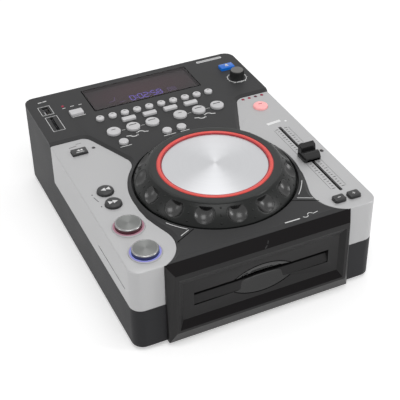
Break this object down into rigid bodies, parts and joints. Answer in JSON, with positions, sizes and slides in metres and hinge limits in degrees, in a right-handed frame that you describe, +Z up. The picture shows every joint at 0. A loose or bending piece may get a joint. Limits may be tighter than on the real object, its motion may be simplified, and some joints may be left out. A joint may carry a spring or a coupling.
{
  "type": "tabletop dj disc player",
  "caption": "Slot-loading tabletop disc player for DJs with a large jog wheel, transport keys, a key field, a display window, a pitch slider and USB and card sockets.",
  "frame": {"origin": "on the table under the middle of the part's box: the feet's faces are at z = 0", "axes": "+X to the user's right, +Y from the front bezel to the rear sockets, +Z up"},
  "size_m": [0.22, 0.297, 0.1005],
  "materials": {
    "case_grey": "fine moulded grain, dark grey",
    "panel_black": "fine-grained black",
    "cover_silver": "satin silver paint",
    "bezel_black": "black, slight grain",
    "window": "smoked and polished",
    "module_dark": "dark",
    "board_green": "solder resist",
    "board_tan": "plain board",
    "sheet_steel": "zinc-plated sheet",
    "socket_black": "black",
    "socket_metal": "bright sheet",
    "lens": "clear, tinted",
    "foot_rubber": "matte",
    "screw_steel": "zinc plated",
    "jog_black": "satin black with matte rim",
    "ring_coral": "translucent coral",
    "plate_aluminium": "brushed across",
    "knob_black": "soft-touch, ribbed",
    "slider_black": "satin",
    "rocker_black": "satin",
    "hub_black": "matte",
    "clamp_white": "plain",
    "sled_grey": "plain",
    "roller_rubber": "matte",
    "key_light": "satin light grey",
    "key_dark": "satin dark grey",
    "key_pink": "translucent, lit",
    "key_blue": "translucent, lit",
    "key_metal": "brushed with a bright rim"
  },
  "bodies": {
    "case": {"lower_case": "case_grey", "top_panel": "panel_black", "left_cover": "cover_silver", "right_cover": "cover_silver", "slot_bezel": "bezel_black", "display_window": "window", "display_module": "module_dark", "key_boards": "board_green", "main_board": "board_green", "power_supply": "board_tan", "drive_frame": "sheet_steel", "rear_sockets": "socket_black", "media_sockets": "socket_metal", "lamp_lenses": "lens", "rubber_feet": "foot_rubber", "case_screws": "screw_steel"},
    "jog": {"jog_wheel": "jog_black", "jog_light_ring": "ring_coral", "jog_plate": "plate_aluminium"},
    "track_knob": {"track_knob": "knob_black"},
    "pitch_slider": {"pitch_slider": "slider_black"},
    "power_rocker": {"power_rocker": "rocker_black"},
    "disc_turntable": {"disc_turntable": "hub_black"},
    "disc_clamp": {"disc_clamp": "clamp_white"},
    "pickup_sled": {"pickup_sled": "sled_grey"},
    "lead_screw": {"lead_screw": "screw_steel"},
    "load_roller": {"load_roller": "roller_rubber"},
    "track_key_1": {"track_key_1": "key_light"},
    "track_key_2": {"track_key_2": "key_light"},
    "track_key_3": {"track_key_3": "key_light"},
    "track_key_4": {"track_key_4": "key_light"},
    "track_key_5": {"track_key_5": "key_light"},
    "track_key_6": {"track_key_6": "key_light"},
    "track_key_7": {"track_key_7": "key_light"},
    "track_key_8": {"track_key_8": "key_light"},
    "track_key_9": {"track_key_9": "key_light"},
    "track_key_10": {"track_key_10": "key_light"},
    "bar_key_1": {"bar_key_1": "key_light"},
    "bar_key_2": {"bar_key_2": "key_light"},
    "bar_key_3": {"bar_key_3": "key_light"},
    "bar_key_4": {"bar_key_4": "key_light"},
    "loop_key_1": {"loop_key_1": "key_light"},
    "loop_key_2": {"loop_key_2": "key_light"},
    "loop_key_3": {"loop_key_3": "key_light"},
    "loop_key_4": {"loop_key_4": "key_light"},
    "loop_key_5": {"loop_key_5": "key_light"},
    "loop_key_6": {"loop_key_6": "key_light"},
    "mode_key_1": {"mode_key_1": "key_light"},
    "mode_key_2": {"mode_key_2": "key_light"},
    "mode_key_3": {"mode_key_3": "key_light"},
    "source_key": {"source_key": "key_light"},
    "eject_key": {"eject_key": "key_blue"},
    "pitch_key": {"pitch_key": "key_pink"},
    "bend_minus_key": {"bend_minus_key": "key_dark"},
    "bend_plus_key": {"bend_plus_key": "key_dark"},
    "skip_key": {"skip_key": "key_dark"},
    "search_back_key": {"search_back_key": "key_dark"},
    "search_ahead_key": {"search_ahead_key": "key_dark"},
    "cue_key": {"cue_key": "key_metal"},
    "play_key": {"play_key": "key_metal"}
  },
  "joints": [
    {"name": "jog_spin", "type": "hinge", "parent": "case", "child": "jog", "pos_m": [0.0008, -0.0545, 0.09], "axis": [0, 0, 1], "continuous": true},
    {"name": "pitch_slide", "type": "slide", "parent": "case", "child": "pitch_slider", "axis": [0, 1, 0], "range_m": [-0.05, 0.05]},
    {"name": "play_key_press", "type": "slide", "parent": "case", "child": "play_key", "axis": [0, 0, -1], "range_m": [0, 0.0015], "stiffness_N_per_m": 300, "springref_m": -0.0005},
    {"name": "cue_key_press", "type": "slide", "parent": "case", "child": "cue_key", "axis": [0, 0, -1], "range_m": [0, 0.0015], "stiffness_N_per_m": 300, "springref_m": -0.0005},
    {"name": "eject_key_press", "type": "slide", "parent": "case", "child": "eject_key", "axis": [0, 0, -1], "range_m": [0, 0.001], "stiffness_N_per_m": 300, "springref_m": -0.0005},
    {"name": "knob_spin", "type": "hinge", "parent": "case", "child": "track_knob", "pos_m": [0.0936, 0.089, 0.088], "axis": [0, 0, 1], "continuous": true},
    {"name": "power_rock", "type": "hinge", "parent": "case", "child": "power_rocker", "pos_m": [0.088, 0.1375, 0.03], "axis": [1, 0, 0], "range_deg": [0, 18]},
    {"name": "sled_slide", "type": "slide", "parent": "case", "child": "pickup_sled", "axis": [0, 1, 0], "range_m": [0, 0.034]},
    {"name": "turntable_spin", "type": "hinge", "parent": "case", "child": "disc_turntable", "pos_m": [0, -0.066, 0.043], "axis": [0, 0, 1], "continuous": true},
    {"name": "clamp_spin", "type": "hinge", "parent": "case", "child": "disc_clamp", "pos_m": [0, -0.066, 0.052], "axis": [0, 0, 1], "continuous": true},
    {"name": "lead_screw_spin", "type": "hinge", "parent": "case", "child": "lead_screw", "pos_m": [0.02, -0.03, 0.03685], "axis": [0, 1, 0], "range_deg": [0, 4320]},
    {"name": "roller_spin", "type": "hinge", "parent": "case", "child": "load_roller", "pos_m": [0, -0.126, 0.04205], "axis": [1, 0, 0], "continuous": true},
    {"name": "search_back_key_press", "type": "slide", "parent": "case", "child": "search_back_key", "axis": [0, 0, -1], "range_m": [0, 0.001], "stiffness_N_per_m": 300, "springref_m": -0.0005},
    {"name": "search_ahead_key_press", "type": "slide", "parent": "case", "child": "search_ahead_key", "axis": [0, 0, -1], "range_m": [0, 0.001], "stiffness_N_per_m": 300, "springref_m": -0.0005},
    {"name": "skip_key_press", "type": "slide", "parent": "case", "child": "skip_key", "axis": [0, 0, -1], "range_m": [0, 0.001], "stiffness_N_per_m": 300, "springref_m": -0.0005},
    {"name": "pitch_key_press", "type": "slide", "parent": "case", "child": "pitch_key", "axis": [0, 0, -1], "range_m": [0, 0.001], "stiffness_N_per_m": 300, "springref_m": -0.0005},
    {"name": "bend_minus_key_press", "type": "slide", "parent": "case", "child": "bend_minus_key", "axis": [0, 0, -1], "range_m": [0, 0.001], "stiffness_N_per_m": 300, "springref_m": -0.0005},
    {"name": "bend_plus_key_press", "type": "slide", "parent": "case", "child": "bend_plus_key", "axis": [0, 0, -1], "range_m": [0, 0.001], "stiffness_N_per_m": 300, "springref_m": -0.0005},
    {"name": "source_key_press", "type": "slide", "parent": "case", "child": "source_key", "axis": [0, 0, -1], "range_m": [0, 0.001], "stiffness_N_per_m": 300, "springref_m": -0.0005},
    {"name": "loop_key_1_press", "type": "slide", "parent": "case", "child": "loop_key_1", "axis": [0, 0, -1], "range_m": [0, 0.001], "stiffness_N_per_m": 300, "springref_m": -0.0005},
    {"name": "loop_key_2_press", "type": "slide", "parent": "case", "child": "loop_key_2", "axis": [0, 0, -1], "range_m": [0, 0.001], "stiffness_N_per_m": 300, "springref_m": -0.0005},
    {"name": "loop_key_3_press", "type": "slide", "parent": "case", "child": "loop_key_3", "axis": [0, 0, -1], "range_m": [0, 0.001], "stiffness_N_per_m": 300, "springref_m": -0.0005},
    {"name": "loop_key_4_press", "type": "slide", "parent": "case", "child": "loop_key_4", "axis": [0, 0, -1], "range_m": [0, 0.001], "stiffness_N_per_m": 300, "springref_m": -0.0005},
    {"name": "loop_key_5_press", "type": "slide", "parent": "case", "child": "loop_key_5", "axis": [0, 0, -1], "range_m": [0, 0.001], "stiffness_N_per_m": 300, "springref_m": -0.0005},
    {"name": "loop_key_6_press", "type": "slide", "parent": "case", "child": "loop_key_6", "axis": [0, 0, -1], "range_m": [0, 0.001], "stiffness_N_per_m": 300, "springref_m": -0.0005},
    {"name": "mode_key_1_press", "type": "slide", "parent": "case", "child": "mode_key_1", "axis": [0, 0, -1], "range_m": [0, 0.001], "stiffness_N_per_m": 300, "springref_m": -0.0005},
    {"name": "mode_key_2_press", "type": "slide", "parent": "case", "child": "mode_key_2", "axis": [0, 0, -1], "range_m": [0, 0.001], "stiffness_N_per_m": 300, "springref_m": -0.0005},
    {"name": "mode_key_3_press", "type": "slide", "parent": "case", "child": "mode_key_3", "axis": [0, 0, -1], "range_m": [0, 0.001], "stiffness_N_per_m": 300, "springref_m": -0.0005},
    {"name": "bar_key_1_press", "type": "slide", "parent": "case", "child": "bar_key_1", "axis": [0, 0, -1], "range_m": [0, 0.001], "stiffness_N_per_m": 300, "springref_m": -0.0005},
    {"name": "bar_key_2_press", "type": "slide", "parent": "case", "child": "bar_key_2", "axis": [0, 0, -1], "range_m": [0, 0.001], "stiffness_N_per_m": 300, "springref_m": -0.0005},
    {"name": "bar_key_3_press", "type": "slide", "parent": "case", "child": "bar_key_3", "axis": [0, 0, -1], "range_m": [0, 0.001], "stiffness_N_per_m": 300, "springref_m": -0.0005},
    {"name": "bar_key_4_press", "type": "slide", "parent": "case", "child": "bar_key_4", "axis": [0, 0, -1], "range_m": [0, 0.001], "stiffness_N_per_m": 300, "springref_m": -0.0005},
    {"name": "track_key_1_press", "type": "slide", "parent": "case", "child": "track_key_1", "axis": [0, 0, -1], "range_m": [0, 0.001], "stiffness_N_per_m": 300, "springref_m": -0.0005},
    {"name": "track_key_2_press", "type": "slide", "parent": "case", "child": "track_key_2", "axis": [0, 0, -1], "range_m": [0, 0.001], "stiffness_N_per_m": 300, "springref_m": -0.0005},
    {"name": "track_key_3_press", "type": "slide", "parent": "case", "child": "track_key_3", "axis": [0, 0, -1], "range_m": [0, 0.001], "stiffness_N_per_m": 300, "springref_m": -0.0005},
    {"name": "track_key_4_press", "type": "slide", "parent": "case", "child": "track_key_4", "axis": [0, 0, -1], "range_m": [0, 0.001], "stiffness_N_per_m": 300, "springref_m": -0.0005},
    {"name": "track_key_5_press", "type": "slide", "parent": "case", "child": "track_key_5", "axis": [0, 0, -1], "range_m": [0, 0.001], "stiffness_N_per_m": 300, "springref_m": -0.0005},
    {"name": "track_key_6_press", "type": "slide", "parent": "case", "child": "track_key_6", "axis": [0, 0, -1], "range_m": [0, 0.001], "stiffness_N_per_m": 300, "springref_m": -0.0005},
    {"name": "track_key_7_press", "type": "slide", "parent": "case", "child": "track_key_7", "axis": [0, 0, -1], "range_m": [0, 0.001], "stiffness_N_per_m": 300, "springref_m": -0.0005},
    {"name": "track_key_8_press", "type": "slide", "parent": "case", "child": "track_key_8", "axis": [0, 0, -1], "range_m": [0, 0.001], "stiffness_N_per_m": 300, "springref_m": -0.0005},
    {"name": "track_key_9_press", "type": "slide", "parent": "case", "child": "track_key_9", "axis": [0, 0, -1], "range_m": [0, 0.001], "stiffness_N_per_m": 300, "springref_m": -0.0005},
    {"name": "track_key_10_press", "type": "slide", "parent": "case", "child": "track_key_10", "axis": [0, 0, -1], "range_m": [0, 0.001], "stiffness_N_per_m": 300, "springref_m": -0.0005}
  ],
  "couplings": [
    {"joint": "clamp_spin", "follows": "turntable_spin", "ratio": 1},
    {"joint": "lead_screw_spin", "follows": "sled_slide", "rad_per_m": 2094.4}
  ]
}
